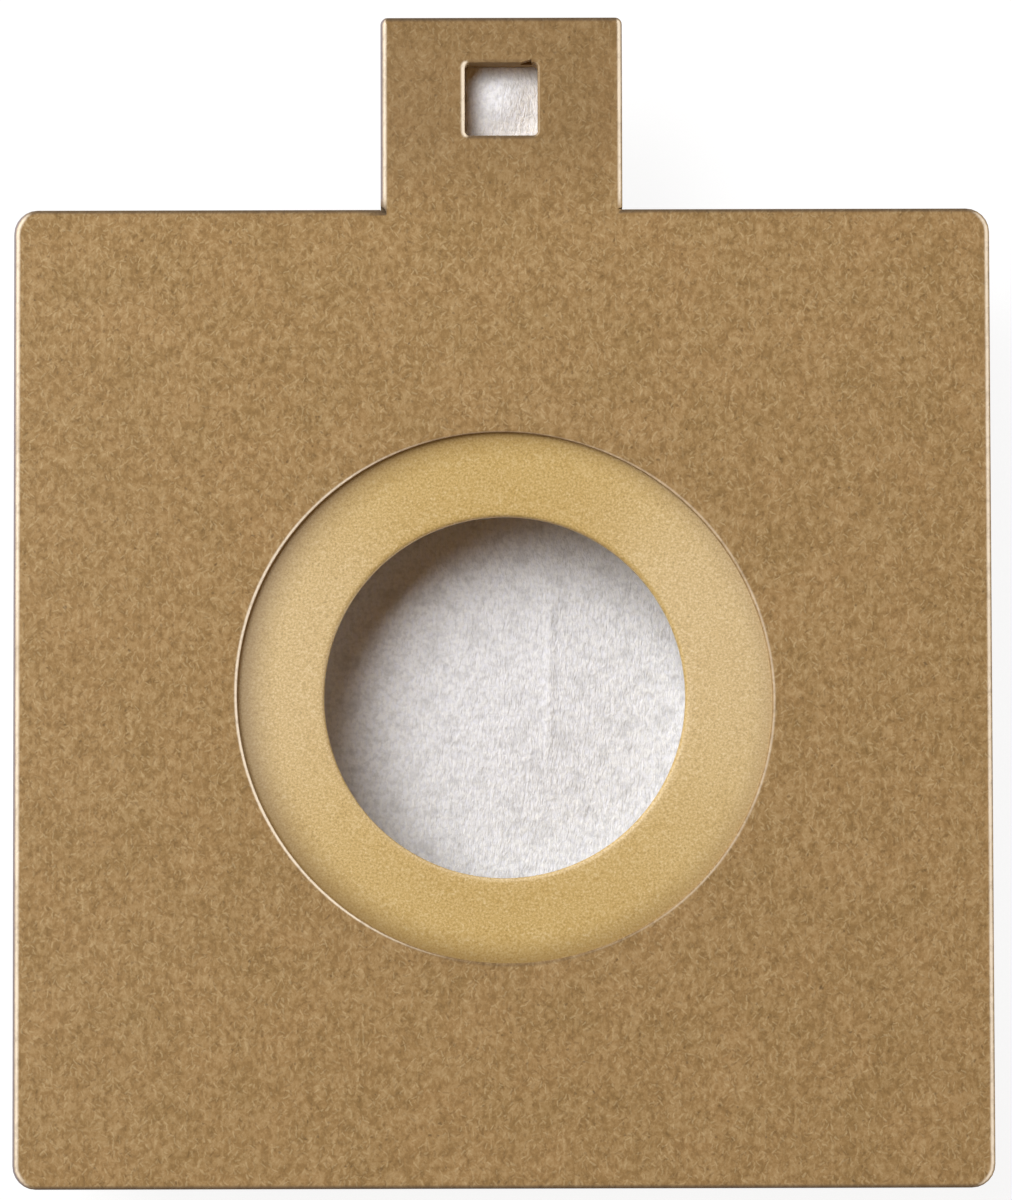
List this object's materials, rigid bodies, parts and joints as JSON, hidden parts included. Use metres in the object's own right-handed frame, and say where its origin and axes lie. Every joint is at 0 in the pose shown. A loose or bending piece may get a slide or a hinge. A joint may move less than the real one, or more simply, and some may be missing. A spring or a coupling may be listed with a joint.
{
  "type": "vacuum dust bag",
  "caption": "Fleece dust bag for a vacuum cleaner, folded flat behind a square kraft card collar with a pull tab, round inlet and rubber seal.",
  "frame": {"origin": "middle of the collar's outline, tab included, on the surface that the folded bag lies on", "axes": "+Z out of the collar's face along the inlet's axis, +Y along the pull tab, +X to the right as the collar is seen from the front"},
  "size_m": [0.1, 0.1198, 0.0187],
  "materials": {
    "kraft_board": "matt brown kraft board with short fibre flecks",
    "seal_rubber": "satin tan rubber",
    "fleece": "white non-woven filter fleece"
  },
  "bodies": {
    "root": {"collar_front_card": "kraft_board", "collar_rear_card": "kraft_board", "seal_ring": "seal_rubber", "fleece_backing": "fleece", "folded_bag": "fleece"}
  },
  "joints": []
}
